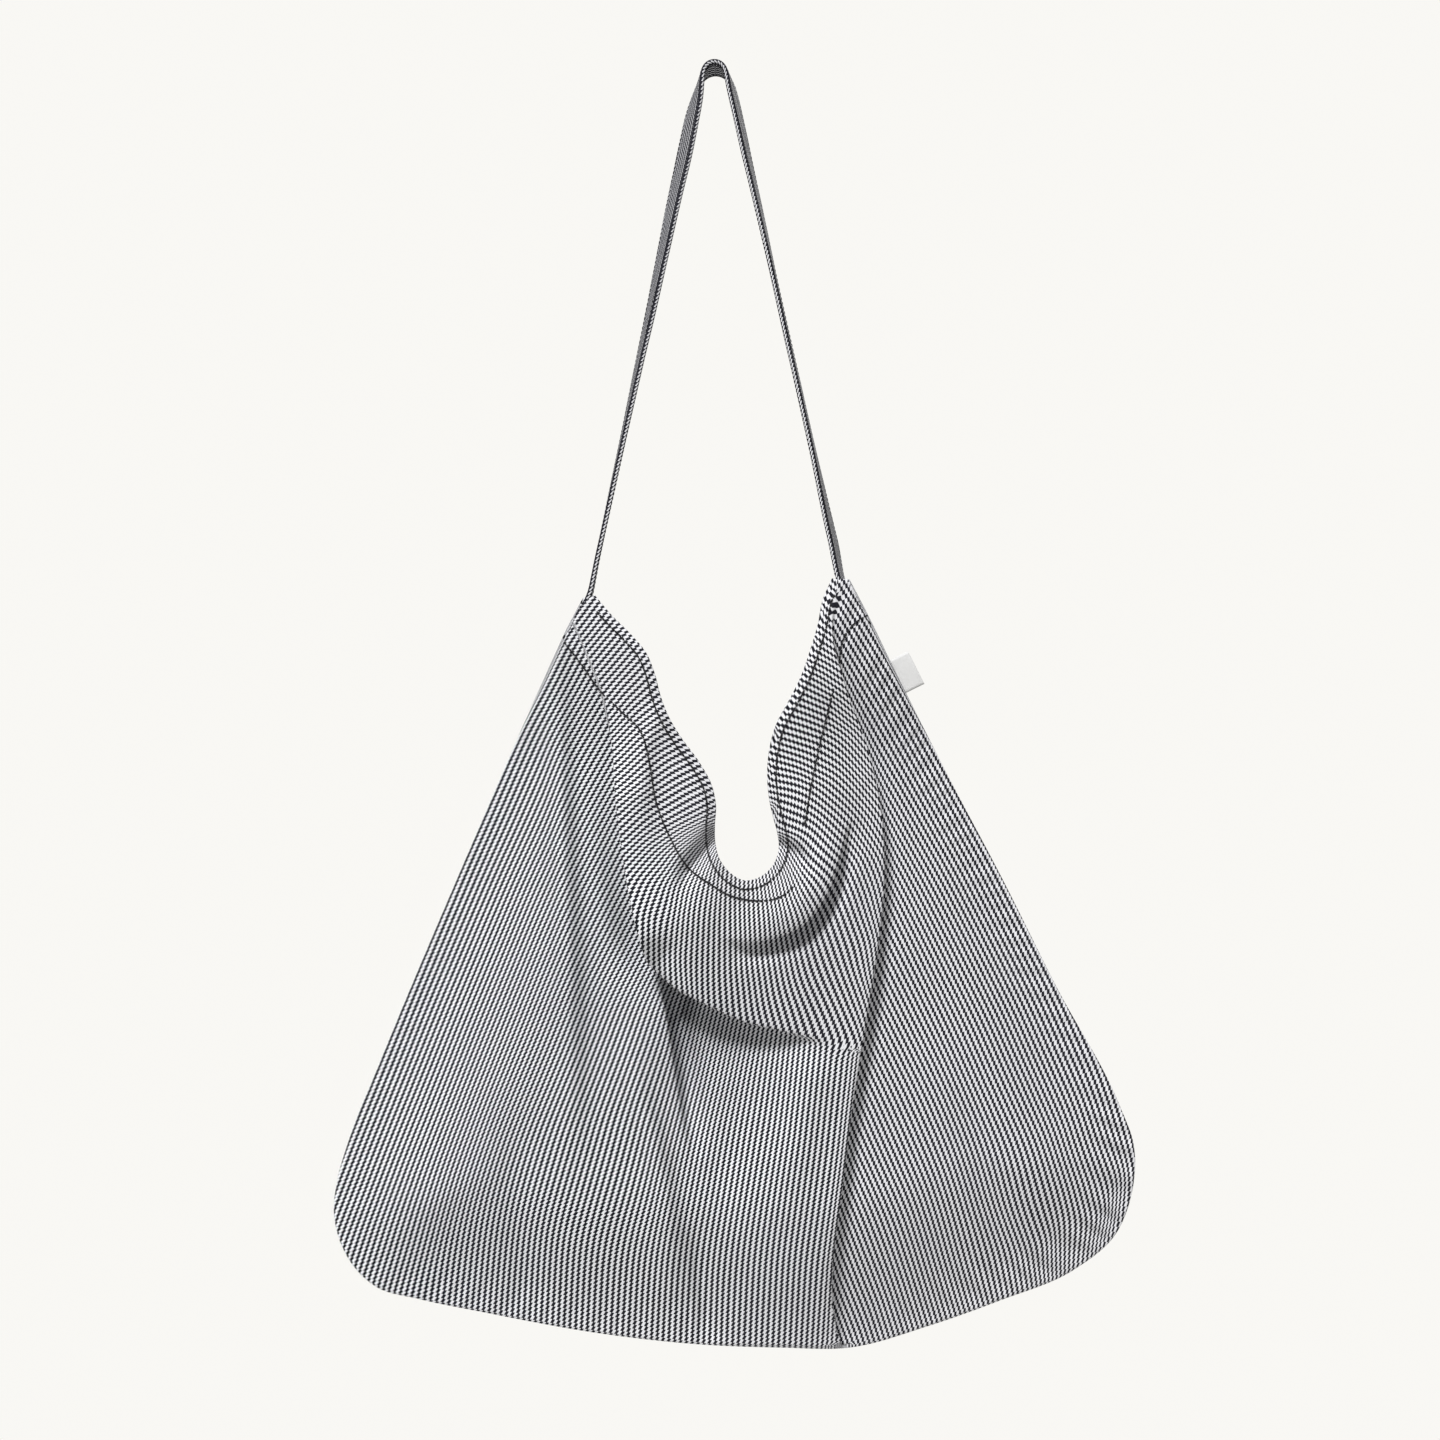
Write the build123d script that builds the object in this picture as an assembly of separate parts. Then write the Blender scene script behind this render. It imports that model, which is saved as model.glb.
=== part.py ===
"""Canvas tote bag with one long shoulder strap, hanging from a round peg by the top of its strap.

Units are millimetres. +Z is up, -Y is the bag's front, and the origin is on the axis of the peg that carries the strap.
The cloth is thin: each layer is its own closed shell, and the layers lie a fraction of a millimetre apart.
"""

import math
import os

from build123d import *

os.makedirs("parts", exist_ok=True)

FRONT = -1  # the side of the bag that a layer is on, as its direction along Y
BACK = 1
LEFT = -1  # the side as its direction along X
RIGHT = 1
BIG = 400.0  # further than anything reaches across the bag
ABOVE = -100.0  # z of a level well above the bag's mouth
CURVE_STEPS = 48  # points that carry a curve once it is moved

# Cloth and thread
CLOTH = 1.4  # one layer of canvas
LAYER_GAP = 0.3  # air between two layers that lie on each other
THREAD = 0.7  # thickness of a row of sewing thread
THREAD_GAP = 0.15  # air between the thread and the cloth

# Strap
PEG_RADIUS = 8.0  # the strap lies on a peg of this radius
STRAP_WIDTH = 25.0
STRAP_THICK = 3.0
STRAP_STITCH_INSET = 2.5  # from the strap's edge to its row of stitches
FOLD = {LEFT: (-75.5, -306.0), RIGHT: (76.0, -296.0)}  # x, z where each leg folds, above the bag's corner
FOLD_ROOM = 18.0  # from the fold line down to the end that is sewn into the bag
# x, z where the sewn-in end enters the bag's corner, and where it stops
SEWN_END = {LEFT: [(-79.7, -328.0), (-92.5, -353.0)], RIGHT: [(79.8, -318.0), (93.5, -342.0)]}
LEAN = 1.4  # degrees that the bag leans back about the fold, so that its weight hangs under the peg

# Hem round the mouth
HEM = 31.0
BACK_MOUTH_DROP = 12.0  # the back edge sags this much lower than the front edge

# Seams
SEAM_ALLOWANCE = 10.0  # width of the folded cloth inside the seams
SEAM_THICK = 4.2
CORNER_TOP = -362.0  # z where the sides change from a flat wall to a folded seam
WALL_FOOT = -470.0  # z where that wall has narrowed to the seam
WALL_GAP = 1.2  # air between the wall and the faces of the bag
BOTTOM_SEAM_TOP = -715.0
TRIM = 6.0  # a curved layer starts this much too wide, and is cut to the outline

# Bar tacks across each sewn-in strap end
TACK_LENGTH = 19.0
TACK_HEIGHT = 2.2
TACK_DROPS = {"upper": 5.0, "lower": 27.0}  # below the top of the bag's corner

# Label sewn into the right side seam
LABEL_TOP = -367.0
LABEL_FOOT = -392.0
LABEL_REACH = 12.0
LABEL_THICK = 0.8
LABEL_GAP = 0.8  # from the seam to the label's near edge, so that it can turn

# x, z round the hanging bag, from the left corner of its mouth down and round to the right corner
OUTLINE = [
    (-83, -326),
    (-100, -358),
    (-161, -498),
    (-222, -642),
    (-242, -702),
    (-236, -748),
    (-190, -779),
    (-79, -801),
    (60, -811),
    (130, -801),
    (207, -769),
    (258, -738),
    (269, -700),
    (258, -657),
    (218, -578),
    (154, -450),
    (101, -342),
    (84, -316),
]
# x, z down the mouth's front edge from the left corner to the bottom of the cowl, and up to the right corner
MOUTH = [
    (-75, -320),
    (-51, -362),
    (-26, -412),
    (-6, -462),
    (8, -497),
    (26, -514),
    (40, -498),
    (45, -462),
    (49, -410),
    (58, -360),
    (75, -310),
]

# Levels down the bag: z, left and right edge, half the gap between the faces at those edges, and how far the front
# and the back stand out in the middle
LEVELS = [
    (-290, -66, 70, 15.8, 16.2, 16.2),
    (-335, -88, 94, 15.8, 18.4, 17.6),
    (-362, -102, 110, 15.2, 27.0, 19.6),
    (-430, -132, 144, 7.0, 44.0, 22.0),
    (-520, -170, 189, 3.2, 52.0, 24.0),
    (-600, -204, 228, 2.6, 45.0, 22.0),
    (-680, -236, 264, 2.6, 32.0, 17.0),
    (-735, -244, 268, 2.6, 20.0, 11.0),
    (-785, -215, 235, 2.6, 9.0, 6.0),
    (-830, -180, 200, 2.6, 4.0, 4.0),
]


def on_front_plane(sketch):
    """A sketch drawn in x and z, placed in the plane of the bag."""
    return Plane.XZ * sketch


def moved_points(points, by):
    """Points along the smooth curve through points, all moved the same distance to the right of its direction."""
    curve = Spline(*points)
    samples = [(curve @ (step / CURVE_STEPS), curve % (step / CURVE_STEPS)) for step in range(CURVE_STEPS + 1)]
    return [(place.X + by * ahead.Y, place.Y - by * ahead.X) for place, ahead in samples]


def curved_area(points, closing=()):
    """A flat area inside a smooth curve through points, closed by straight edges through closing."""
    curve = Spline(*points)
    sides = Polyline(points[-1], *closing, points[0])
    return make_face(curve.edges() + sides.edges())


def curved_strip(points, inner, outer):
    """The flat strip between two distances to the right of the smooth curve through points."""
    near = Spline(*moved_points(points, inner))
    far = Spline(*moved_points(points, outer))
    ends = Line(near @ 0, far @ 0).edges() + Line(near @ 1, far @ 1).edges()
    return make_face(near.edges() + far.edges() + ends)


def bag_area(outwards=0.0):
    """The bag seen from the front, with its edge moved outwards, and its top closed from corner to corner."""
    return curved_area(moved_points(OUTLINE, outwards))


def mouth_points(drop):
    """The mouth's edge, with its bottom lower by a drop."""
    top = MOUTH[0][1]
    depth = top - min(z for x, z in MOUTH)
    return [(x, z - drop * max(0.0, top - z) / depth) for x, z in MOUTH]


def mouth_area(outwards=0.0, drop=0.0):
    """The area that the mouth takes out of a face of the bag, open above, with its edge moved outwards."""
    points = moved_points(mouth_points(drop), outwards)
    return curved_area(points, [(points[-1][0], ABOVE), (points[0][0], ABOVE)])


def rows(top, foot, side=0):
    """The area between two heights: right across, or only on one side."""
    start = 0 if side == RIGHT else -BIG
    end = 0 if side == LEFT else BIG
    return Pos((start + end) / 2, (top + foot) / 2) * Rectangle(end - start, top - foot)


def through(area, low=-BIG, high=BIG):
    """A flat area made solid from y = low to y = high."""
    solid = extrude(on_front_plane(area), amount=high - low, dir=(0, 1, 0))
    return Pos(0, low, 0) * solid


def level_face(level, side, inner, outer):
    """One level of a layer of cloth, between two distances outwards from the cloth's inner surface."""
    z, left, right, gap, front, back = level
    left, right = left - TRIM, right + TRIM
    depth = front if side == FRONT else back

    def arc(out):
        middle = ((left + right) / 2, side * (depth + out), z)
        return ThreePointArc((left, side * (gap + out), z), middle, (right, side * (gap + out), z))

    near = arc(inner)
    far = arc(outer)
    ends = Line(near @ 0, far @ 0).edges() + Line(near @ 1, far @ 1).edges()
    return make_face(near.edges() + far.edges() + ends)


def layer(side, inner, outer, area):
    """A curved layer on one side of the bag, cut to a flat area."""
    return loft([level_face(level, side, inner, outer) for level in LEVELS]) & through(area)


def between_faces(clearance):
    """The space between the front and the back at the bag's edges, right across in X."""
    front = [(FRONT * (gap - clearance), z) for z, left, right, gap, *depths in LEVELS]
    back = [(BACK * (gap - clearance), z) for z, left, right, gap, *depths in reversed(LEVELS)]
    profile = make_face(Polyline(*[(-BIG, y, z) for y, z in front + back], close=True))
    return extrude(profile, amount=2 * BIG, dir=(1, 0, 0))


def fold_line():
    """The line through both folds, about which the bag turns on its strap."""
    left, right = FOLD[LEFT], FOLD[RIGHT]
    return Axis((left[0], 0, left[1]), (right[0] - left[0], 0, right[1] - left[1]))


def fold_rod(radius):
    """A rod along the fold line, past both legs, that rounds the strap's ends."""
    axis = fold_line()
    start = Plane(axis.position - axis.direction * BIG, z_dir=axis.direction)
    return extrude(start * Circle(radius), amount=3 * BIG)


def above_fold(drop=0.0):
    """The space above the fold line, or above a line lower than it by a drop."""
    axis = fold_line()
    ends = [axis.position - axis.direction * BIG, axis.position + axis.direction * 2 * BIG]
    points = [(end.X, end.Z - drop) for end in ends]
    area = make_face(Polyline(*points, (points[1][0], BIG), (points[0][0], BIG), close=True))
    return through(area)


def leg_points(side, out, past=0.0):
    """x, z of one straight leg of a strap layer: its foot, a distance past the fold, and where it meets the peg.
    The layer lies a distance out from the strap's inner surface."""
    middle = PEG_RADIUS + STRAP_THICK / 2
    fold = Vector(*FOLD[side])
    angle = math.atan2(fold.Y, fold.X) + side * math.acos(middle / fold.length)
    outwards = Vector(math.cos(angle), math.sin(angle))
    leg = fold - outwards * middle
    top = outwards * (PEG_RADIUS + out)
    foot = top + leg + leg.normalized() * past
    return (foot.X, foot.Y), (top.X, top.Y)


def strap_area(inner, outer, past=0.0):
    """The strap seen from the front, between two distances from the peg."""

    def path(out):
        foot_left, top_left = leg_points(LEFT, out, past)
        foot_right, top_right = leg_points(RIGHT, out, past)
        over = ThreePointArc(top_left, (0, PEG_RADIUS + out), top_right)
        return Line(foot_left, top_left).edges() + over.edges() + Line(top_right, foot_right).edges()

    feet = [Line(leg_points(side, inner, past)[0], leg_points(side, outer, past)[0]) for side in (LEFT, RIGHT)]
    return make_face(path(inner) + path(outer) + feet[0].edges() + feet[1].edges())


def shoulder_strap():
    """The strap from fold to fold over the peg, with a round end at each fold."""
    long_strap = through(strap_area(0, STRAP_THICK, past=STRAP_WIDTH), -STRAP_WIDTH / 2, STRAP_WIDTH / 2)
    return long_strap & (above_fold() + fold_rod(STRAP_WIDTH / 2))


def strap_stitches(side):
    """A row of thread on the strap's outer face, near its front or back edge."""
    area = strap_area(STRAP_THICK + THREAD_GAP, STRAP_THICK + THREAD_GAP + THREAD)
    middle = side * (STRAP_WIDTH / 2 - STRAP_STITCH_INSET)
    return through(area, middle - THREAD / 2, middle + THREAD / 2)


def sewn_end_area(side, thick):
    """One sewn-in strap end seen from the front."""
    return trace(Polyline(FOLD[side], *SEWN_END[side]), line_width=thick)


def sewn_end(side):
    """The end of the strap that is sewn into the bag's corner. It starts where the folding leg can't reach it."""
    end = through(sewn_end_area(side, STRAP_THICK), -STRAP_WIDTH / 2, STRAP_WIDTH / 2)
    return end - above_fold(FOLD_ROOM)


def corner_drop(side, drop, height):
    """A level strip of the bag's corner, a distance below its top."""
    corner = OUTLINE[0] if side == LEFT else OUTLINE[-1]
    return rows(corner[1] - drop, corner[1] - drop - height, side)


def side_seam(side):
    """The folded seam down one side, and the flat wall at its top that wraps the strap's end."""
    wall = through(curved_strip(OUTLINE, -CLOTH, 0) & rows(ABOVE, WALL_FOOT, side)) & between_faces(WALL_GAP)
    strap_room = through(sewn_end_area(side, STRAP_THICK + 2 * LAYER_GAP))
    fold = curved_strip(OUTLINE, -SEAM_ALLOWANCE, 0) & rows(CORNER_TOP, BOTTOM_SEAM_TOP, side)
    return (wall - strap_room) + through(fold, -SEAM_THICK / 2, SEAM_THICK / 2)


def bottom_seam():
    """The folded seam along the bottom and round both lower corners."""
    fold = curved_strip(OUTLINE, -SEAM_ALLOWANCE, 0) & rows(BOTTOM_SEAM_TOP - LAYER_GAP, -3 * BIG)
    return through(fold, -SEAM_THICK / 2, SEAM_THICK / 2)


def bar_tack(side, drop):
    """A short thick row of thread across a strap's sewn-in end, outside the bag's corner."""
    area = curved_strip(OUTLINE, THREAD_GAP, THREAD_GAP + THREAD) & corner_drop(side, drop, TACK_HEIGHT)
    return through(area, -TACK_LENGTH / 2, TACK_LENGTH / 2)


def label():
    """The folded woven label that stands out of the right side seam."""
    area = curved_strip(OUTLINE, LABEL_GAP, LABEL_GAP + LABEL_REACH) & rows(LABEL_TOP, LABEL_FOOT, RIGHT)
    return through(area, -LABEL_THICK / 2, LABEL_THICK / 2)


def face_nodes(side, name, drop):
    """The panel and the hem of one face of the bag, with its mouth's edge sagging by a drop."""
    mouth = mouth_area(0, drop)
    hem = (mouth_area(HEM, drop) & bag_area(-2 * CLOTH)) - mouth
    return {
        name + "_panel": layer(side, 0, CLOTH, bag_area() - mouth),
        name + "_hem": layer(side, -LAYER_GAP - CLOTH, -LAYER_GAP, hem),
    }


def bag_nodes():
    """Everything below the fold, by name, before the bag leans back."""
    nodes = face_nodes(FRONT, "front", 0) | face_nodes(BACK, "back", BACK_MOUTH_DROP)
    nodes["bottom_seam"] = bottom_seam()
    nodes["label"] = label()
    for side, name in ((LEFT, "left"), (RIGHT, "right")):
        nodes["side_seam_" + name] = side_seam(side)
        nodes["strap_end_" + name] = sewn_end(side)
        for place, drop in TACK_DROPS.items():
            nodes["bar_tack_" + name + "_" + place] = bar_tack(side, drop)
    return nodes


def strap_nodes():
    return {
        "shoulder_strap": shoulder_strap(),
        "strap_stitch_front": strap_stitches(FRONT),
        "strap_stitch_back": strap_stitches(BACK),
    }


def save(name, shape):
    """Write one node, without the specks that a cut can leave."""
    solids = shape.solids()
    largest = max(solid.volume for solid in solids)
    whole = [solid for solid in solids if solid.volume > largest / 50]
    export_step(whole[0] if len(whole) == 1 else Compound(whole), "parts/" + name + ".step")
    print(name, len(whole), "solid(s)", round(sum(solid.volume for solid in whole)), "mm3")


for name, shape in strap_nodes().items():
    save(name, shape)
for name, shape in bag_nodes().items():
    save(name, shape.rotate(fold_line(), LEAN))
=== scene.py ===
"""Canvas tote bag in hickory-stripe cloth, hanging by its strap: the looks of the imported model.

Lengths are in mm in the CAD frame: x across, z up, y backwards from the plane of the seams. Front and back are
worked out over x and z, as a depth out from that plane and as the flat coordinates that the stripes come from.
"""

import math

import bpy
import numpy as np
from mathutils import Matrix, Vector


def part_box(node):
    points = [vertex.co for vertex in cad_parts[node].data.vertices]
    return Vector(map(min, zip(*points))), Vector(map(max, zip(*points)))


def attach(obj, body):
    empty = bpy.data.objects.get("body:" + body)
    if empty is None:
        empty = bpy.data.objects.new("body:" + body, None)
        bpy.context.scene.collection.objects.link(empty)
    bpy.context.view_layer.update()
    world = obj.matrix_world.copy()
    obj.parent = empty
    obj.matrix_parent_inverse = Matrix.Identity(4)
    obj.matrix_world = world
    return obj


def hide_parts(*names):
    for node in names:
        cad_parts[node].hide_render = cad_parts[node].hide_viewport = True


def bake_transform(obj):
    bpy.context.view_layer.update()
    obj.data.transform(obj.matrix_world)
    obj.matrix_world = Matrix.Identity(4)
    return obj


MM = 0.001  # one mm in the frame's metres
FRONT = -1  # a face of the bag, as its direction along y
BACK = 1

# Camera: level, square to the bag, at the distance where the frame is 0.9216 m wide in the plane of the seams
VIEW_X = 3.2
VIEW_Z = -408.3
VIEW_DISTANCE = 900.0
SENSOR = 36.0
FRAME_WIDTH = 921.6

# Cloth
PERIOD = 3.7  # one dark and one light stripe
TWILL = 2.7  # length of one step in a stripe's edge
CLOTH = 1.1
HEM = 31.0
HEM_GAP = 0.4
LIP_ROLL = 1.3
SEAM_DEPTH = 1.6  # half the bag's thickness beside its seams
SEAM_ROLL = 3.0  # how far in from the outline the cloth starts to turn round the seam
SEAM_MEET = 0.3  # half the gap between the faces where they meet
LEAST_DEPTH = 1.3  # no fold brings a face nearer to the plane of the seams
LEAN = 0.0244  # how fast the hanging bag goes back, below the height where it starts
LEAN_TOP = -306.0

# Thread
EDGE_STITCH = 4.5  # from the lip to the first row
HEM_STITCH = HEM - 2.5  # from the lip to the second row
STITCH_LIFT = 0.35
HEM_THREAD = (3.0, 2.7, 0.6)  # pitch, length and radius of the stitches round the mouth
STRAP_THREAD = (3.1, 2.5, 0.32)
TACK_THREAD = (2.6, 0.38)  # length and radius of a bar tack's stitches
TACK_STITCHES = 34

# Floor and light
FLOOR_Z = -1700.0
FLOOR_REACH = 1600.0
FLOOR_SIDES = 64
WORLD_LIGHT = 0.40  # how strongly the pale surroundings light the bag
KEY_LIGHT = 3.25

# Strap
PEG_RADIUS = 8.0
STRAP_WIDTH = 25.0
STRAP_THICK = 3.0
STITCH_INSET = 2.5
TACK_LENGTH = 24.6
LEFT = -1  # a side of the bag, as its direction along x
RIGHT = 1
FOLD = {LEFT: (-75.5, -306), RIGHT: (76, -296)}  # x, z where each leg meets the bag's hinge line
FOLD_DOWN = (0.0659, -0.9978)  # square to that line, down the bag
FOLD_REACH = 12.0  # a distance each side of the line, along FOLD_DOWN
# x, z where each end enters the bag's corner, and where it stops
SEWN_END = {LEFT: [(-79.7, -328), (-92.5, -353)], RIGHT: [(79.8, -318), (93.5, -342)]}
# Share of the strap's length from its left end, and its twist in degrees
TWISTS = [
    (0, 3), (0.08, 6), (0.18, 9), (0.3, 16), (0.42, 24), (0.47, 22), (0.49, 5), (0.51, 5), (0.53, 15), (0.58, 14),
    (0.7, 8), (0.85, 9), (0.93, 15), (1, 10),
]

# Outline of the hanging bag as x, z, from the left corner of the mouth round the bottom to the right corner
OUTLINE = [
    (-84.5, -330), (-96, -352), (-101, -363), (-160, -498), (-214, -626), (-234, -676), (-242, -704), (-244, -722),
    (-240, -742), (-232, -757), (-217, -771), (-189, -779), (-150, -787), (-73, -801), (-9, -808), (42, -810),
    (86, -810), (137, -796), (182, -780), (230, -760), (256, -738), (267, -710), (268, -680), (259, -655),
    (218, -578), (186, -514), (144, -434), (112, -370), (98, -341), (86, -318),
]
# The mouth's front edge as x, z, from the left corner to the right corner
LIP = [
    (-78, -329), (-67, -342), (-54, -355), (-45, -366), (-40, -378), (-36, -393), (-31, -406), (-22, -421),
    (-11, -436), (-3, -451), (-0.6, -463), (-1.3, -476), (-1, -487), (2, -498), (9, -507), (18, -512), (29, -510),
    (38, -502), (42, -491), (41, -480), (38, -469), (35.5, -456), (34.6, -443), (36, -427), (40, -412), (48, -397),
    (56, -381), (62, -364), (67, -347), (70, -332), (76, -318),
]
# The mouth's back edge, which hangs a little lower
BACK_LIP = [
    (-80, -332), (-66, -356), (-54, -382), (-46, -408), (-34, -438), (-20, -470), (-12, -500), (-2, -520),
    (20, -529), (40, -523), (51, -504), (50, -474), (47, -440), (53, -406), (64, -370), (79, -322),
]


def spline(points, count):
    """Evenly spaced points on a smooth curve through points, as an array of rows x, z."""
    points = np.asarray(points, float)
    chord = lengths(points)
    fine = np.linspace(0, chord[-1], 40 * len(points))
    curve = np.stack([cubic(chord, column, fine) for column in points.T], axis=1)
    length = lengths(curve)
    return between(np.linspace(0, length[-1], count), length, curve)


def lengths(line):
    """The length along a line from its start to each of its points."""
    return np.concatenate([[0], np.cumsum(np.linalg.norm(np.diff(line, axis=0), axis=1))])


def between(at, knots, rows):
    """The rows that belong to knots, read at any places."""
    return np.stack([np.interp(at, knots, column) for column in rows.T], axis=1)


def right_of(line):
    """The direction to the right of a line in the plane of the bag, at each of its points."""
    way = np.gradient(line, axis=0)
    return np.stack([way[:, 1], -way[:, 0]], axis=1) / norms(way)


def norms(ways):
    """The length of each direction, ready to divide by."""
    return np.linalg.norm(ways, axis=-1, keepdims=True)


def cubic(knots, values, at):
    """A cubic curve through values at knots, with slopes from the neighbours, read at any places."""
    slope = np.gradient(values, knots)
    index = np.clip(np.searchsorted(knots, at, side="right") - 1, 0, len(knots) - 2)
    span = knots[index + 1] - knots[index]
    t = (at - knots[index]) / span
    a, b = values[index], values[index + 1]
    m, n = slope[index] * span, slope[index + 1] * span
    return a + t * (m + t * (3 * (b - a) - 2 * m - n + t * (2 * (a - b) + m + n)))


def smooth(t):
    t = np.clip(t, 0, 1)
    return t * t * (3 - 2 * t)


class Fold:
    """A line in the plane of the bag, with a height at each of its points."""

    def __init__(self, points, heights):
        points = np.asarray(points, float)
        chord = lengths(points)
        self.line = spline(points, 50)
        self.heights = np.interp(np.linspace(0, chord[-1], 50), chord, heights)

    def measure(self, x, z):
        """Distance from the line, positive on its right, the height there, and the way right."""
        start, end = self.line[:-1], self.line[1:]
        way = end - start
        long = (way**2).sum(axis=1)
        best = np.full(x.shape, 1e9)
        side, share, blended = np.zeros((3, *x.shape))
        segment = np.zeros(x.shape, dtype=int)
        for index in range(len(start)):
            dx, dz = x - start[index, 0], z - start[index, 1]
            t = np.clip((dx * way[index, 0] + dz * way[index, 1]) / long[index], 0, 1)
            off = np.hypot(dx - t * way[index, 0], dz - t * way[index, 1])
            near = off < best
            cross = dx * way[index, 1] - dz * way[index, 0]
            best = np.where(near, off, best)
            side = np.where(near, np.sign(cross), side)
            segment = np.where(near, index, segment)
            pull = 1 / (off * off + 4) ** 3
            share += pull
            blended += pull * (self.heights[index] * (1 - t) + self.heights[index + 1] * t)
        right = np.stack([way[:, 1], -way[:, 0]], axis=1) / np.sqrt(long)[:, None]
        return best * np.where(side == 0, 1, side), blended / share, right[segment]


# The cowl's edge, which hangs over the left and the middle of the panel below it
COWL = Fold(
    [(-84, -362), (-74, -387), (-66, -423), (-60, -462), (-55, -500), (-50, -528), (-43, -553), (-29, -573),
     (-1, -589), (29, -602), (52, -610), (78, -617)],
    [0, 2, 8, 17, 26, 32, 34, 31, 23, 13, 6, 0],
)
# The pleat below the right corner, whose left side lies over its right side
PLEAT = Fold(
    [(77, -330), (75, -356), (81, -387), (95, -426), (103, -460), (106, -511), (103, -545), (98, -578), (92, -615),
     (86, -652), (79, -710), (73, -760), (74, -790), (82, -812)],
    [0, 4, 8, 9, 9, 9, 10, 12, 12, 11, 10, 9, 7, 4],
)
# The edge that runs down from the cowl's lower left corner, and the edge of the roll below the mouth
TUCK = Fold(
    [(-43, -548), (-39, -570), (-34, -594), (-30, -615), (-25, -638), (-19, -668), (-13, -700)],
    [0, 7, 9, 8, 5, 2, 0],
)
ROLL = Fold(
    [(2, -548), (20, -551), (38, -547), (55, -538), (69, -521), (79, -498), (88, -470)],
    [0, 4, 8, 11, 11, 7, 0],
)
TROUGH = 0.32  # depth of the hollow below a fold's edge, as a share of its height
LAP = 2.5  # how far a fold's edge hangs over, as a share of its width
# Each edge with its line's high side, the height that laps fully, its width and how far back it slopes
COWL_EDGE = (COWL, -1, 16.0, 9.0, 110.0)
PLEAT_EDGE = (PLEAT, 1, 7.0, 6.0, 50.0)
SMALL_EDGES = [(TUCK, 1, 9.0, 6.0, 24.0), (ROLL, -1, 11.0, 6.0, 22.0)]
# Grooves and ridges: points, heights (grooves negative) and half width
CREASES = [
    ([(-36, -560), (-27, -588), (-20, -618), (-14, -650), (-8, -690)], [-16, -21, -15, -8, 0], 9.0),
    ([(-62, -600), (-52, -640), (-39, -684), (-30, -731), (-26, -770)], [0, 8, 11, 9, 2], 8.5),
    ([(-103, -366), (-101, -430), (-98, -500), (-95, -560), (-92, -640), (-90, -700)], [4, 10, 12, 10, 6, 0], 9.0),
    ([(-1, -484), (-9, -494), (-17, -505), (-20, -520)], [-7, -10, -9, -1], 6.0),
    (
        [(8, -556), (22, -556), (38, -551), (58, -541), (73, -520), (82, -494), (88, -468)],
        [0, -3, -5, -7, -7, -4, 0],
        7.0,
    ),
    ([(42, -489), (52, -494), (62, -508)], [-6, -7, 0], 5.0),
    ([(-14, -730), (-10, -760), (-4, -800)], [0, -5, -5], 5.0),
    ([(-30, -395), (-44, -420), (-48, -455), (-45, -500)], [0, 5, 7, 0], 8.0),
    ([(60, -640), (50, -690), (46, -740)], [4, 5, 0], 14.0),
    ([(10, -640), (6, -690), (10, -740)], [0, -4, 0], 12.0),
    ([(130, -460), (160, -560), (200, -680)], [0, 3, 0], 20.0),
    ([(-150, -560), (-180, -680), (-190, -740)], [0, 3, 1], 18.0),
    ([(150, -640), (170, -700), (185, -755)], [0, -3, -2], 10.0),
    ([(-130, -640), (-128, -700), (-120, -770)], [0, -3, -2], 12.0),
]
CREASE_FOLDS = [(Fold(points, heights), width) for points, heights, width in CREASES]
OUTLINE_FOLD = Fold(OUTLINE, [0] * len(OUTLINE))
LIP_FOLD = Fold(LIP, [0] * len(LIP))


def waves(x, z, seed):
    """Small soft unevenness, the same each time, roughly from -1 to 1."""
    source = np.random.default_rng(seed)
    total = np.zeros(np.shape(x))
    for _ in range(14):
        length = source.uniform(24, 90)
        turn = source.uniform(0, math.pi)
        phase = source.uniform(0, 2 * math.pi)
        total += np.sin(2 * math.pi * (x * math.cos(turn) + z * math.sin(turn)) / length + phase) * length / 90
    return total / 4


def seam_distance(x, z):
    return np.abs(OUTLINE_FOLD.measure(x, z)[0])


def belly(x, z):
    """How far the cloth stands out from the plane of the seams before it is folded."""
    off = seam_distance(x, z)
    high = smooth((z + 345) / 40)
    side_wall = 12.5 * smooth((z + 440) / 90)
    return SEAM_DEPTH + side_wall + (22 - 8 * high) * smooth(off / 95) ** 0.8


def puckers(x, z):
    """Fine ripples that run in from the seams, deepest along the bottom on the right."""
    off, along = OUTLINE_FOLD.measure(x, z)[0], np.arctan2(z + 560, x) * 300
    deep = 0.5 + 1.3 * smooth((x - 40) / 120) * smooth((-640 - z) / 60)
    ripple = np.sin(along * 2 * math.pi / 17 + 1.3 * np.sin(along * 2 * math.pi / 61))
    return deep * ripple * np.exp(-(((np.abs(off) - 9) / 14) ** 2))


def overlap(fold, side, tallest, width, spread, x, z):
    """How a fold lies over the cloth beside it: the height it stands up, and the sideways move of each place."""
    off, height, right = fold.measure(x, z)
    off = off * side
    rise = smooth(0.5 + off / width)
    fall = np.exp(-((np.maximum(off - width, 0) / spread) ** 2))
    trough = TROUGH * height * np.exp(-(((off + 0.9 * width) / width) ** 2))
    push = -LAP * off * np.exp(-((off / (0.85 * width)) ** 2)) * np.minimum(height / tallest, 1)
    return height * rise * fall - trough, push[..., None] * right * side


def crease(out, folds, x, z):
    """Adds grooves and ridges to a depth."""
    for fold, width in folds:
        off, height, _ = fold.measure(x, z)
        out += height * np.exp(-((off / width) ** 2))


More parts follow.
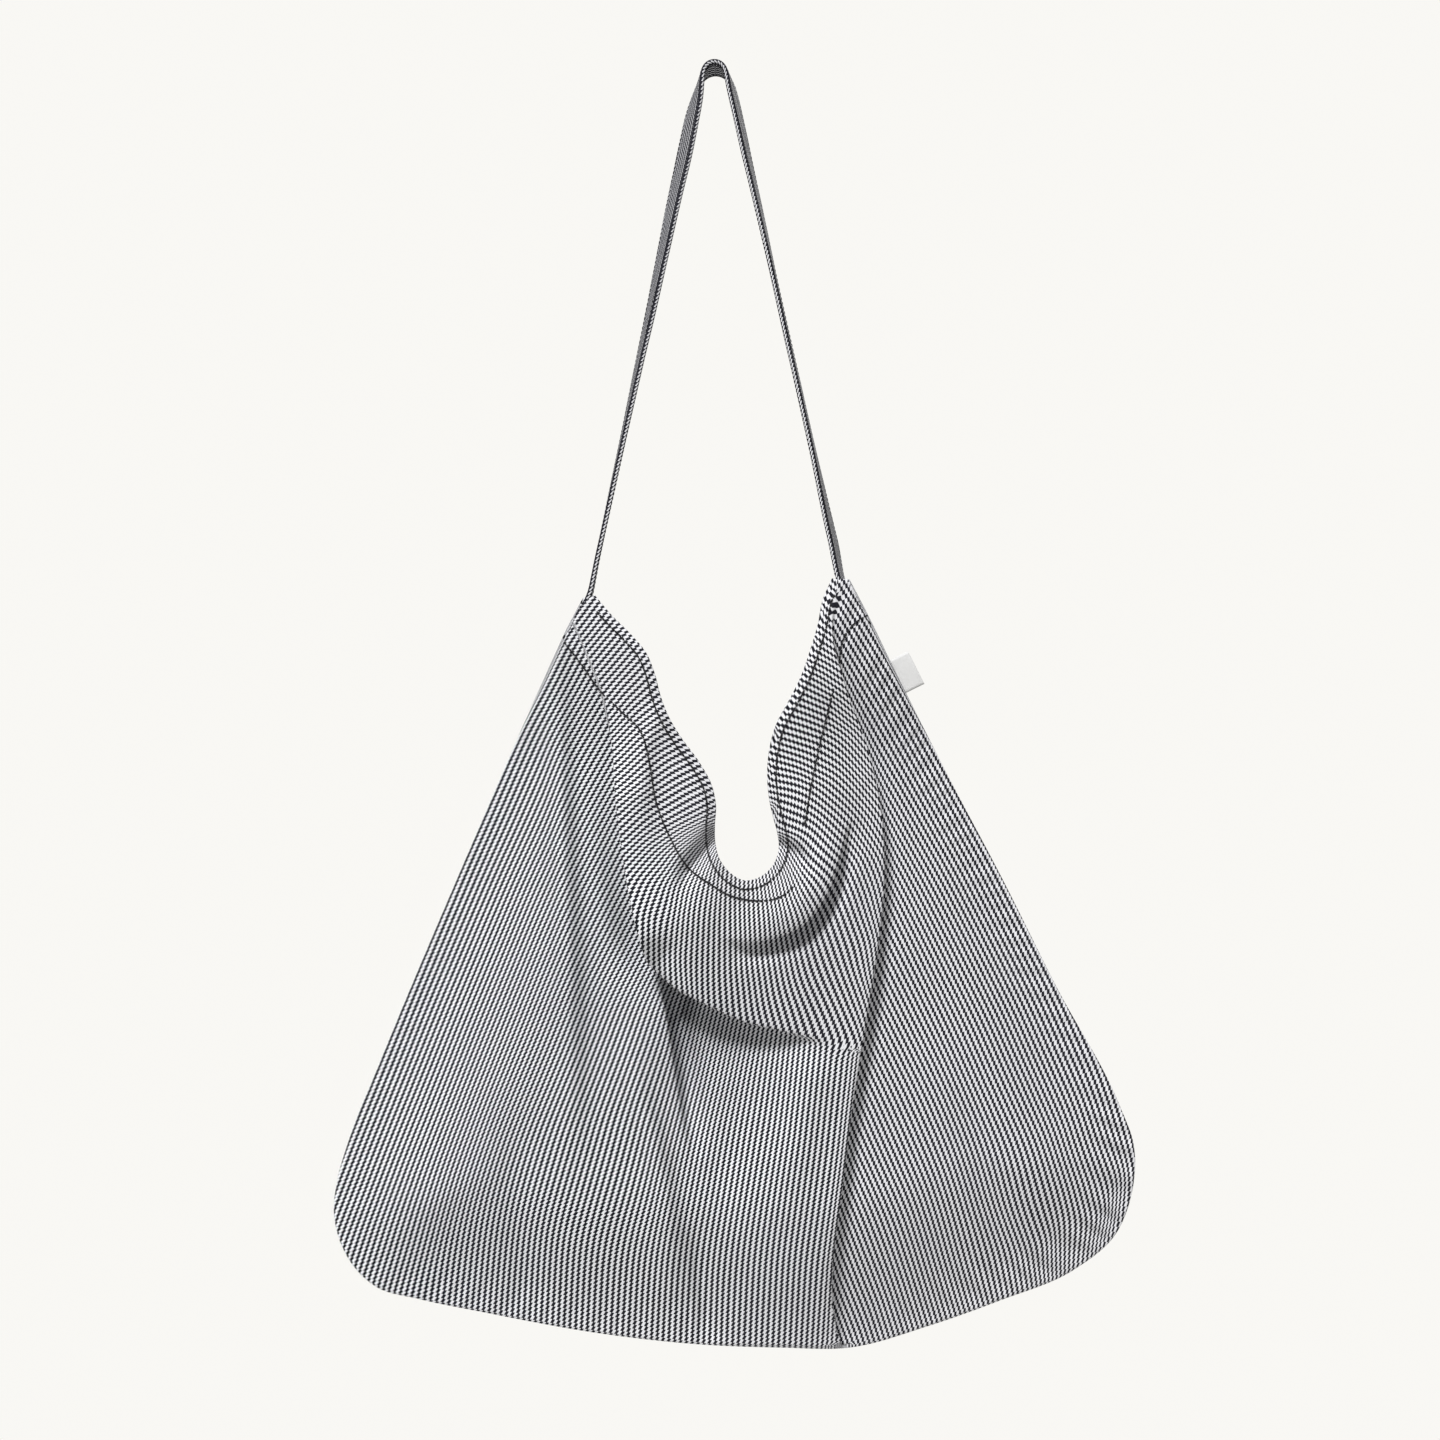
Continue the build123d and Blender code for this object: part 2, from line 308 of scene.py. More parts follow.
def front_depth(x, z):
    """Depth of the front of the bag at places in the picture plane, in mm out from the plane of the seams."""
    out = belly(x, z) + 0.5 * waves(x, z, 5) * smooth(seam_distance(x, z) / 40) + puckers(x, z)
    left_of_pleat = smooth(PLEAT.measure(x, z)[0] / 50 + 0.1)
    out += overlap(*COWL_EDGE, x, z)[0] * smooth(seam_distance(x, z) / 70) ** 0.6 * left_of_pleat
    out += overlap(*PLEAT_EDGE, x, z)[0] + sum(overlap(*edge, x, z)[0] for edge in SMALL_EDGES)
    crease(out, CREASE_FOLDS, x, z)
    lip = np.abs(LIP_FOLD.measure(x, z)[0])
    return np.maximum(out - 3.0 * np.exp(-lip / 3.5), LEAST_DEPTH)


def front_push(x, z):
    return sum(overlap(*edge, x, z)[1] for edge in [COWL_EDGE, PLEAT_EDGE, *SMALL_EDGES])


BACK_CREASES = [
    ([(-72, -395), (-85, -520), (-112, -660), (-122, -745)], [0, 13, 14, 3], 11.0),
    ([(-34, -470), (-32, -560), (-45, -680), (-52, -770)], [0, -13, -14, -3], 11.0),
    ([(26, -545), (32, -600), (38, -680), (36, -780)], [2, 14, 13, 3], 11.0),
    ([(84, -410), (96, -520), (112, -640), (132, -735)], [0, -13, -14, -3], 11.0),
    ([(118, -440), (150, -580), (188, -715)], [0, 15, 4], 11.0),
    ([(-120, -470), (-160, -620), (-190, -720)], [0, -10, -2], 11.0),
]
BACK_FOLDS = [(Fold(points, heights), width) for points, heights, width in BACK_CREASES]


def back_depth(x, z):
    """The same for the back, which has only soft folds that fan out from the strap's two ends."""
    inside = smooth(seam_distance(x, z) / 45)
    out = belly(x, z) * 0.75 + 0.8 * waves(x, z, 11) * inside + 0.5 * puckers(x, z)
    reach = np.hypot(x - 5, z + 250)
    fan = np.arctan2(x - 5, -250 - z)
    out += 2.6 * inside * reach / 310 * np.sin(70 * fan + 2.2 * np.sin(9 * fan + reach / 130))
    crease(out, BACK_FOLDS, x, z)
    return out


def back_push(x, z):
    return np.zeros((*x.shape, 2))


# How far a stripe's top leans to the right, in degrees, at places in each part of the front: x, z, lean
BASE_LEANS = [
    (-86, -345, 36), (-95, -375, 27), (-78, -405, 31), (-64, -450, 29), (-58, -500, 28), (-48, -560, 28),
    (-120, -450, 23), (-150, -550, 22.5), (-200, -660, 22), (-225, -715, 21), (-205, -755, 18),
    (-160, -775, 5), (-105, -640, 23), (-60, -635, 22), (-110, -785, 3), (-60, -795, 3), (-75, -700, 17),
    (-45, -700, 13), (-20, -650, 14), (20, -700, 9), (60, -720, 7.5), (50, -790, 3), (10, -800, 2),
    (60, -640, 6), (75, -660, 6), (0, -620, 12),
]
COWL_LEANS = [
    (-80, -342, 36), (-66, -352, 42), (-65, -368, 40), (-54, -383, 44), (-44, -398, 52), (-33, -415, 60),
    (-22, -432, 65), (-12, -451, 66), (-7, -470, 62), (-22, -474, 62), (-33, -462, 60), (-45, -440, 50),
    (-66, -400, 37), (-55, -430, 46), (-40, -483, 58), (-25, -489, 56), (-44, -504, 48), (-52, -480, 46),
    (-27, -504, 33), (-42, -526, 24), (-27, -526, 5), (-44, -547, 4), (-12, -504, 27), (1, -515, 6),
    (-18, -545, 1), (-25, -575, -3), (18, -525, 0), (39, -515, -10), (47, -504, -30), (8, -560, 1),
    (6, -590, -3), (30, -575, -8), (30, -545, -3), (45, -600, -16), (62, -590, -26), (84, -575, -22),
    (52, -545, -14), (63, -525, -32), (80, -550, -22), (98, -565, -8), (101, -525, -14), (63, -504, -52),
    (74, -483, -44), (86, -461, -41), (93, -483, -33), (95, -515, -20), (74, -462, -50), (63, -440, -63),
    (52, -423, -74), (40, -449, -80), (46, -475, -70), (46, -408, -74), (63, -402, -68), (74, -383, -56),
    (80, -402, -50), (91, -432, -41), (74, -355, -55), (60, -375, -66), (76, -335, -42),
]
RIGHT_LEANS = [
    (88, -335, -33), (92, -360, -31), (100, -385, -30), (115, -420, -29), (134, -470, -29),
    (100, -620, -26), (170, -560, -27), (200, -650, -25), (240, -700, -22), (240, -720, -17),
    (200, -740, -23), (95, -690, -24), (85, -780, -22), (110, -800, -18), (200, -763, -10),
    (218, -753, 0), (236, -748, 6), (252, -736, 12), (262, -722, 8), (150, -783, -17),
]


class Stripes:
    """Where each place lies in the flat cloth, across and along its stripes in mm, from their lean."""

    CELL = 5.0
    LOW = (-300.0, -860.0)
    SIZE = (122, 118)
    TIGHTEST = 2.6  # how far a stripe may look narrower than it is, seen from the front
    SPACING = 0.12  # how much the stripes' spacing counts against their direction
    LOOSE = 0.004  # how much a place with no cloth counts

    def __init__(self, leans, depth, reach):
        count_x, count_z = self.SIZE
        x = self.LOW[0] + self.CELL * np.arange(count_x)[:, None] + np.zeros((1, count_z))
        z = self.LOW[1] + self.CELL * np.arange(count_z)[None, :] + np.zeros((count_x, 1))
        cosine = np.zeros(x.shape)
        sine = np.zeros(x.shape)
        for px, pz, lean in leans:
            near = 1 / ((x - px) ** 2 + (z - pz) ** 2 + 60) ** 2
            cosine += near * math.cos(math.radians(lean))
            sine += near * math.sin(math.radians(lean))
        size = np.hypot(cosine, sine)
        cosine, sine = cosine / size, sine / size
        out = depth(x, z)
        slope_x, slope_z = np.gradient(out, self.CELL)
        slope_x, slope_z = np.clip(slope_x, -1.2, 1.2), np.clip(slope_z, -1.2, 1.2)
        longer = np.sqrt(1 + (slope_x * cosine - slope_z * sine) ** 2)
        near = np.min([np.hypot(x - px, z - pz) for px, pz, _ in leans], axis=0)
        in_mouth = smooth(0.5 - LIP_FOLD.measure(x, z)[0] / 4) * (z > -520)
        self.weight = self.LOOSE + (1 - smooth((near - reach) / 25)) * (1 - in_mouth)
        self.across = self.follow(cosine, -sine, longer, 4, self.SPACING)
        self.along = self.follow(-sine, -cosine, np.ones_like(longer), 1, 1.0)

    def rises(self, field):
        step_x, step_z = np.zeros_like(field), np.zeros_like(field)
        step_x[:-1] = (field[1:] - field[:-1]) / self.CELL
        step_z[:, :-1] = (field[:, 1:] - field[:, :-1]) / self.CELL
        return step_x, step_z

    def gather(self, step_x, step_z):
        """The transpose of rises."""
        total = np.zeros_like(step_x)
        total[:-1] -= step_x[:-1]
        total[1:] += step_x[:-1]
        total[:, :-1] -= step_z[:, :-1]
        total[:, 1:] += step_z[:, :-1]
        return total / self.CELL

    def follow(self, way_x, way_z, shortest, rounds, spacing):
        """The field that rises in the given directions, no slower than the cloth's own length allows."""
        field = np.zeros_like(way_x)
        rate = shortest
        for _ in range(rounds):
            strong = self.weight * spacing * rate
            field = self.settle(field, self.gather(strong * way_x, strong * way_z), way_x, way_z, spacing)
            rise_x, rise_z = self.rises(field)
            rate = np.clip(rise_x * way_x + rise_z * way_z, shortest, self.TIGHTEST)
        return field

    def settle(self, field, target, way_x, way_z, spacing):
        """Conjugate gradients for the field that best meets the target."""

        def pull(trial):
            rise_x, rise_z = self.rises(trial)
            ahead = self.weight * spacing * (rise_x * way_x + rise_z * way_z)
            aside = self.weight * (rise_z * way_x - rise_x * way_z)
            return self.gather(ahead * way_x - aside * way_z, ahead * way_z + aside * way_x)

        left = target - pull(field)
        ready = self.even_out(left)
        search = ready
        size = (left * ready).sum()
        for _ in range(70):
            pulled = pull(search)
            share = size / (search * pulled).sum()
            field = field + share * search
            left = left - share * pulled
            ready = self.even_out(left)
            size, before = (left * ready).sum(), size
            search = ready + size / before * search
        return field

    def even_out(self, push):
        """The plain smooth field for a push, found with waves: a good first guess for settle."""
        count_x, count_z = push.shape
        mirrored = np.concatenate([push, push[::-1]], axis=0)
        mirrored = np.concatenate([mirrored, mirrored[:, ::-1]], axis=1)
        waves_x = 2 - 2 * np.cos(2 * math.pi * np.fft.fftfreq(2 * count_x))
        waves_z = 2 - 2 * np.cos(2 * math.pi * np.arange(count_z + 1) / (2 * count_z))
        scale = waves_x[:, None] + waves_z[None, :]
        scale[0, 0] = 1
        spectrum = np.fft.rfft2(mirrored) / scale
        spectrum[0, 0] = 0
        return np.fft.irfft2(spectrum, s=mirrored.shape)[:count_x, :count_z]

    def read(self, x, z):
        """Across and along at any places."""
        column = np.clip((x - self.LOW[0]) / self.CELL, 0, self.SIZE[0] - 1.001)
        row = np.clip((z - self.LOW[1]) / self.CELL, 0, self.SIZE[1] - 1.001)
        i, j = column.astype(int), row.astype(int)
        a, b = column - i, row - j
        return [
            field[i, j] * (1 - a) * (1 - b) + field[i + 1, j] * a * (1 - b)
            + field[i, j + 1] * (1 - a) * b + field[i + 1, j + 1] * a * b
            for field in (self.across, self.along)
        ]


def joined(parts, meeting):
    """Moves the second part's flat coordinates so that both parts agree at a place."""
    first, second = parts
    at = np.array(meeting, float)[:, None]
    here, there = first.read(*at), second.read(*at)
    second.across += here[0][0] - there[0][0]
    second.along += here[1][0] - there[1][0]


# Where the stripes of two parts meet: at the two ends of the cowl's edge, and at the top of the pleat
COWL_TOP = (-80, -372)
COWL_FOOT = (70, -618)
PLEAT_TOP = (78, -350)


class FrontCloth:
    """The front's flat coordinates, from its three parts with the cowl's edge and the pleat between them."""

    def __init__(self):
        self.base = Stripes(BASE_LEANS, front_depth, 55.0)
        self.cowl = Stripes(COWL_LEANS, front_depth, 20.0)
        self.right = Stripes(RIGHT_LEANS, front_depth, 55.0)
        joined((self.base, self.cowl), COWL_FOOT)
        self.turn_in()
        joined((self.cowl, self.right), PLEAT_TOP)

    def turn_in(self):
        """Slides the cowl's stripes by less than one, more and more upwards, to meet at its top as well."""
        at = np.array(COWL_TOP, float)[:, None]
        apart = self.base.read(*at)[0][0] - self.cowl.read(*at)[0][0]
        part = apart - PERIOD * round(apart / PERIOD)
        z = Stripes.LOW[1] + Stripes.CELL * np.arange(Stripes.SIZE[1])
        self.cowl.across += part * smooth((z - COWL_FOOT[1]) / (COWL_TOP[1] - COWL_FOOT[1]))[None, :]

    def read(self, x, z, seen_x=None, seen_z=None):
        """Across and along at places in the cloth, which a fold's edge may have moved to the seen places."""
        seen_x, seen_z = (x, z) if seen_x is None else (seen_x, seen_z)
        off, height, _ = COWL.measure(x, z)
        in_cowl = smooth(0.5 - off / (1 + 5 * smooth(height / 12) + 20 * np.exp(-height / 3) * smooth(x / 60)))
        off, height, _ = PLEAT.measure(x, z)
        in_right = smooth(0.5 - off / (5 + 10 * np.exp(-height / 1.5)))
        low = self.base.read(seen_x, seen_z)
        top = self.cowl.read(seen_x, seen_z)
        side = self.right.read(seen_x, seen_z)
        result = []
        for a, b, c in zip(low, top, side):
            left = a * (1 - in_cowl) + b * in_cowl
            result.append(left * (1 - in_right) + c * in_right)
        return result


class BackCloth:
    """The back's flat coordinates, from stripes that fan out evenly from the middle to the two sides."""

    SIDE_LEAN = 25
    MIDDLE = 8
    SPREAD = 105

    def __init__(self):
        leans = [
            (x, z, -self.SIDE_LEAN * math.tanh((x - self.MIDDLE) / self.SPREAD))
            for x in range(-240, 280, 40)
            for z in range(-800, -320, 40)
        ]
        self.whole = Stripes(leans, back_depth, 55.0)

    def read(self, x, z, seen_x=None, seen_z=None):
        return self.whole.read(x, z)


def in_space(x, z, out, side):
    """Places in space, from a depth and from where the camera sees them. The bag leans back as it hangs."""
    y = side * out + LEAN * np.maximum(LEAN_TOP - z, 0)
    nearer = (VIEW_DISTANCE + y) / VIEW_DISTANCE
    return np.stack([VIEW_X + (x - VIEW_X) * nearer, y, VIEW_Z + (z - VIEW_Z) * nearer], axis=-1)


def grid_normals(grid):
    normals = np.cross(np.gradient(grid, axis=0), np.gradient(grid, axis=1))
    return normals / (norms(normals) + 1e-9)


def add_mesh(name, points, faces, flats=None, material=None):
    """A mesh object from points in mm, with its flat coordinates in mm as UV maps."""
    mesh = bpy.data.meshes.new(name)
    mesh.from_pydata((np.asarray(points) * MM).tolist(), [], [list(map(int, face)) for face in faces])
    if flats is not None:
        corners = np.empty(len(mesh.loops), dtype=np.int32)
        mesh.loops.foreach_get("vertex_index", corners)
        flats = np.asarray(flats, float)
        cloth = mesh.uv_layers.new(name="cloth")
        cloth.data.foreach_set("uv", (flats / (PERIOD, TWILL))[corners].astype(np.float32).ravel())
        low, high = flats.min(axis=0), flats.max(axis=0)
        bake = mesh.uv_layers.new(name="OFBake")
        spread = 0.002 + 0.996 * (flats - low) / (high - low).max()
        bake.data.foreach_set("uv", spread[corners].astype(np.float32).ravel())
    mesh.polygons.foreach_set("use_smooth", np.ones(len(mesh.polygons), dtype=bool))
    mesh.update()
    piece = bpy.data.objects.new(name, mesh)
    bpy.context.scene.collection.objects.link(piece)
    if material is not None:
        mesh.materials.append(material)
    return piece


def grid_faces(index):
    """Faces between neighbours in a grid of point numbers."""
    return np.stack([index[:-1, :-1], index[:-1, 1:], index[1:, 1:], index[1:, :-1]], axis=-1).reshape(-1, 4)


def cloth_piece(name, grid, flat, thickness, outside, material):
    """Cloth with a thickness, from the grid of its outer face, which faces roughly outside."""
    normals = grid_normals(grid)
    turned = (normals * outside).sum() < 0
    if turned:
        normals = -normals
    rows, columns = grid.shape[:2]
    count = rows * columns
    points = np.concatenate([grid.reshape(-1, 3), (grid - normals * thickness).reshape(-1, 3)])
    outer = np.arange(count).reshape(rows, columns)
    inner = outer + count
    faces = [grid_faces(outer)[:, ::-1], grid_faces(inner)]
    for near, far, flip in (
        (outer[0], inner[0], False), (outer[-1], inner[-1], True),
        (outer[:, 0], inner[:, 0], True), (outer[:, -1], inner[:, -1], False),
    ):
        strip = np.stack([near[:-1], near[1:], far[1:], far[:-1]], axis=-1)
        faces.append(strip[:, ::-1] if flip else strip)
    faces = np.concatenate(faces)
    if turned:
        faces = faces[:, ::-1]
    flats = np.concatenate([flat.reshape(-1, 2)] * 2)
    return add_mesh(name, points, faces, flats, material)


def face_piece(name, lip, depth, push, cloth, side, columns, rows, material):
    """One face of the bag, from a grid whose rows run from the lip to the seam."""
    rim = spline(OUTLINE, columns)
    away = right_of(rim)
    edge = rim - away * SEAM_ROLL
    top = spline(lip, columns)
    along = np.linspace(0, 1, rows)[:, None, None]
    plane = top * (1 - along) + edge * along
    x, z = plane[..., 0], plane[..., 1]
    out = depth(x, z)
    moved = plane + push(x, z)
    grid = in_space(moved[..., 0], moved[..., 1], out, side)
    flat = np.stack(cloth.read(x, z, moved[..., 0], moved[..., 1]), axis=-1)
    # Round the seam, from the edge to the plane where the two faces meet
    here, there = [np.stack(cloth.read(*(edge + away * k).T), axis=-1) for k in (-1, 0)]
    slope = (there - here) / norms(there - here)
    rows_round, flats_round = [], []
    for turn in np.linspace(0, math.pi / 2, 8)[1:]:
        place = edge + away * SEAM_ROLL * math.sin(turn)
        deep = SEAM_MEET + (out[-1] - SEAM_MEET) * math.cos(turn)
        rows_round.append(in_space(place[:, 0], place[:, 1], deep, side))
        gone = np.linalg.norm(rows_round[-1] - (rows_round[-2] if len(rows_round) > 1 else grid[-1]), axis=-1)
        before = flats_round[-1] if flats_round else flat[-1]
        flats_round.append(before + slope * gone[:, None])
    # Round the lip, where the hem folds inwards
    inwards = -right_of(top)
    rows_lip, flats_lip = [], []
    near, next_to = np.stack(cloth.read(*top.T), axis=-1), np.stack(cloth.read(*(top - inwards).T), axis=-1)
    slope = (near - next_to) / norms(near - next_to)
    for turn in np.linspace(0, math.pi, 8)[1:]:
        place = top + inwards * LIP_ROLL * math.sin(turn)
        rows_lip.append(in_space(place[:, 0], place[:, 1], out[0] - LIP_ROLL * (1 - math.cos(turn)), side))
        flats_lip.append(flat[0] + slope * LIP_ROLL * turn)
    grid = np.concatenate([np.array(rows_lip[::-1]), grid, np.array(rows_round)])
    flat = np.concatenate([np.array(flats_lip[::-1]), flat, np.array(flats_round)])
    return cloth_piece(name, grid, flat, CLOTH, (0, side, 0), material)


def hem_piece(name, lip, depth, cloth, side, columns, material):
    """The hem's inner layer: the part of the face within a hem's depth of the lip, lying inside it."""
    top, rim = spline(lip, columns), spline(OUTLINE, columns)
    reach = np.linalg.norm(rim - top, axis=1)
    share = np.minimum(HEM / np.maximum(reach, 1), 0.9)
    along = np.linspace(0, 1, 14)[:, None]
    x = top[:, 0] + (rim - top)[:, 0] * share * along
    z = top[:, 1] + (rim - top)[:, 1] * share * along
    grid = in_space(x, z, depth(x, z) - CLOTH - HEM_GAP, side)
    flat = np.stack(cloth.read(x, z), axis=-1)
    return cloth_piece(name, grid, flat, CLOTH, (0, side, 0), material)


def stitch_row(name, places, normals, pitch, length, radius, material):
    """A row of thread stitches along places in mm, standing a little proud of the cloth."""
    gaps = lengths(places)
    starts = np.arange(pitch / 2, gaps[-1] - pitch / 2, pitch)
    return threads(name, *along_row(places, normals, gaps, starts), length, radius, material)


def along_row(places, normals, gaps, starts):
    """Each stitch's place, its direction and the way out of the cloth, from where it starts along a row."""
    at = between(starts, gaps, places)
    return at, between(starts + 0.5, gaps, places) - at, between(starts, gaps, normals)


def threads(name, at, along, up, length, radius, material):
    """Short pieces of thread, one at each place, with round ends sunk into the cloth."""
    along = along / norms(along)
    across = np.cross(along, up)
    across /= norms(across)
    up = np.cross(across, along)
    # Along the thread as a share of its length, then the ring's size and its lift as shares of the radius
    rings = [
        (-0.5, 0.25, -0.7), (-0.38, 0.85, 0.0), (-0.12, 1.0, 0.35), (0.12, 1.0, 0.35), (0.38, 0.85, 0.0),
        (0.5, 0.25, -0.7),
    ]
    sides = 7
    template, flats = [], []
    for place, size, lift in rings:
        for k in range(sides):
            turn = 2 * math.pi * k / sides
            sideways, upwards = size * math.cos(turn), size * math.sin(turn) + lift
            template.append((place * length, radius * sideways, radius * upwards))
            flats.append((radius * turn, place * length))
    template = np.array(template)
    points = (
        at[:, None, :] + along[:, None, :] * template[None, :, 0:1]
        + across[:, None, :] * template[None, :, 1:2] + up[:, None, :] * template[None, :, 2:3]
    )
    faces = []
    for ring in range(len(rings) - 1):
        for k in range(sides):
            a, b = ring * sides + k, ring * sides + (k + 1) % sides
            faces.append((a, b, b + sides, a + sides))
    caps = [tuple(range(sides))[::-1], tuple((len(rings) - 1) * sides + k for k in range(sides))]
    every = []
    for number in range(len(at)):
        shift = number * len(template)
        every += [tuple(shift + v for v in face) for face in faces + caps]
    return add_mesh(name, points.reshape(-1, 3), every, np.tile(flats, (len(at), 1)), material)


def on_face(line, depth, side, lift):
    """A line drawn on one face of the bag, as places and normals in space."""
    places = in_space(line[:, 0], line[:, 1], depth(line[:, 0], line[:, 1]) + lift, side)
    step = 1.0
    x, z = line.T
    slope_x = (depth(x + step, z) - depth(x - step, z)) / (2 * step)
    slope_z = (depth(x, z + step) - depth(x, z - step)) / (2 * step)
    normals = np.stack([-slope_x, np.full(len(x), float(side)), -slope_z], axis=1)
    return places, normals / norms(normals)


# The rows of stitches on the front, as x, z
HEM_ROW = [
    (-97, -358), (-86, -372), (-74, -389), (-61, -402), (-48, -415), (-42, -436), (-38, -460), (-29, -483),
    (-16, -504), (-2, -514), (8, -520), (18, -523), (31, -524), (43, -521), (52, -513),
]
HEM_ROW_RIGHT = [(98, -341), (90, -346), (82, -357), (79, -374), (74, -396), (67, -424), (61, -453), (57, -478)]


def side_path(side):
    """The strap's middle line from the foot of its sewn end up to the peg, as x, z."""
    middle = PEG_RADIUS + STRAP_THICK / 2
    fold = np.array(FOLD[side], float)
    angle = math.atan2(fold[1], fold[0]) + side * math.acos(middle / np.linalg.norm(fold))
    top = middle * np.array([math.cos(angle), math.sin(angle)])
    return [np.array(place, float) for place in SEWN_END[side][::-1]] + [fold, top], angle


def strap_line():
    """The strap's middle line from one sewn end to the other, evenly spaced, with how far it is twisted."""
    left, from_angle = side_path(LEFT)
    right, to_angle = side_path(RIGHT)
    from_angle %= 2 * math.pi
    middle = PEG_RADIUS + STRAP_THICK / 2
    arc = [middle * np.array([math.cos(a), math.sin(a)]) for a in np.linspace(from_angle, to_angle, 26)]
    points = left[:-1] + arc + right[:-1][::-1]
    points = np.array(points)
    length = lengths(points)
    even = np.linspace(0, length[-1], 420)
    line = between(even, length, points)
    for _ in range(6):
        line[1:-1] = (line[:-2] + 2 * line[1:-1] + line[2:]) / 4
    twist = np.interp(even / length[-1], [place for place, _ in TWISTS], [turn for _, turn in TWISTS])
    for _ in range(30):
        twist[1:-1] = (twist[:-2] + 2 * twist[1:-1] + twist[2:]) / 4
    return line, np.radians(twist), even


def strap_frame():
    """The strap's middle line in space, its across and outward directions, and the length along it."""
    line, twist, even = strap_line()
    ahead = np.gradient(line, axis=0)
    ahead /= norms(ahead)
    out = np.stack([-ahead[:, 1], np.zeros(len(line)), ahead[:, 0]], axis=1)
    front = np.array([0.0, -1.0, 0.0])
    turn_c, turn_s = np.cos(twist)[:, None], np.sin(twist)[:, None]
    across = front * turn_c - out * turn_s
    outwards = out * turn_c + front * turn_s
    return np.stack([line[:, 0], np.zeros(len(line)), line[:, 1]], axis=1), across, outwards, even


def strap_piece(material):
    """The strap: a folded, edge-stitched band, fuller along its folds and pressed down at its stitches."""
    centre, across, outwards, even = strap_frame()
    half = STRAP_WIDTH / 2
    profile = []
    for side in (1, -1):
        sweep = np.linspace(half - 1.0, -half + 1.0, 25) * side
        for w in sweep:
            seam = math.exp(-(((abs(w) - (half - STITCH_INSET)) / 0.8) ** 2))
            profile.append((w, side * (STRAP_THICK / 2 - 0.38 * seam)))
        for turn in np.linspace(60, -60, 5):
            angle = math.radians(turn)
            profile.append((-side * (half - 1.0 + math.cos(angle)), side * math.sin(angle) * STRAP_THICK / 2))
    profile = np.array(profile)
    closed = np.concatenate([profile, profile[:1]])
    girth = lengths(closed)
    ripple = 0.25 * waves(even, even * 0, 3)
    grid = (
        centre[:, None, :] + across[:, None, :] * closed[None, :, 0:1]
        + outwards[:, None, :] * (closed[None, :, 1:2] + ripple[:, None, None])
    )
    rows, columns = grid.shape[:2]
    flat = np.stack([np.tile(girth, (rows, 1)), np.tile(even[:, None], (1, columns))], axis=-1)
    index = np.arange(rows * columns).reshape(rows, columns)
    faces = [list(face) for face in grid_faces(index)]
    faces += [list(index[0, :-1]), list(index[-1, :-1][::-1])]
    return add_mesh("strap_band", grid.reshape(-1, 3), faces, flat.reshape(-1, 2), material)


def strap_row(name, edge, material):
    """One edge's stitches, on the strap's outer and inner faces."""
    centre, across, outwards, even = strap_frame()
    inset = edge * (STRAP_WIDTH / 2 - STITCH_INSET)
    pitch, length, radius = STRAP_THREAD
    starts = np.arange(6, even[-1] - 6, pitch)
    rows = []
    for face in (1, -1):
        places = centre + across * inset + outwards * face * (STRAP_THICK / 2 - 0.25)
        rows.append(along_row(places, outwards * face, even, starts))
    at, to, up = [np.concatenate(part) for part in zip(*rows)]
    return threads(name, at, to, up, length, radius, material)


def seam_strip(name, start, end, material):
    """The seam's two allowances, sewn together inside the bag."""
    line = spline(OUTLINE, 700)
    line = line[int(start * 699): int(end * 699) + 1]
    away = right_of(line)
    reach = np.array([0.5, 3, 6, 10])[:, None, None]
    plane = line[None] - away[None] * reach
    grid = in_space(plane[..., 0], plane[..., 1], np.full(plane.shape[:2], 0.4), FRONT)
    length = lengths(line)
    flat = np.stack([reach[..., 0] + 0 * length, np.tile(length, (4, 1))], axis=-1)
    return cloth_piece(name, grid, flat, 0.8, (0, -1, 0), material)


def bar_tack(name, material):
    """A bar of thread sewn over and over across the strap's end."""
    low, high = [np.array(corner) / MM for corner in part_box(name)]
    side = RIGHT if high[0] > 0 else LEFT
    head, foot = [np.array(place, float) for place in SEWN_END[side]]
    down = (foot - head) / np.linalg.norm(foot - head)
    out = np.array([-down[1], down[0]]) * side
    place = head + down * (((low + high) / 2)[[0, 2]] - head).dot(down)
    place = place + out * (STRAP_THICK / 2 - 0.1)
    across = np.linspace(-TACK_LENGTH / 2, TACK_LENGTH / 2, TACK_STITCHES)
    at = np.array([[place[0], y, place[1]] for y in across])
    ahead = np.tile([down[0], 0, down[1]], (TACK_STITCHES, 1))
    ahead[:, 1] = 0.28 * (-1.0) ** np.arange(TACK_STITCHES)  # each stitch slants against the one before
    up = np.tile([out[0], 0, out[1]], (TACK_STITCHES, 1))
    return threads(name + "_thread", at, ahead, up, *TACK_THREAD, material)


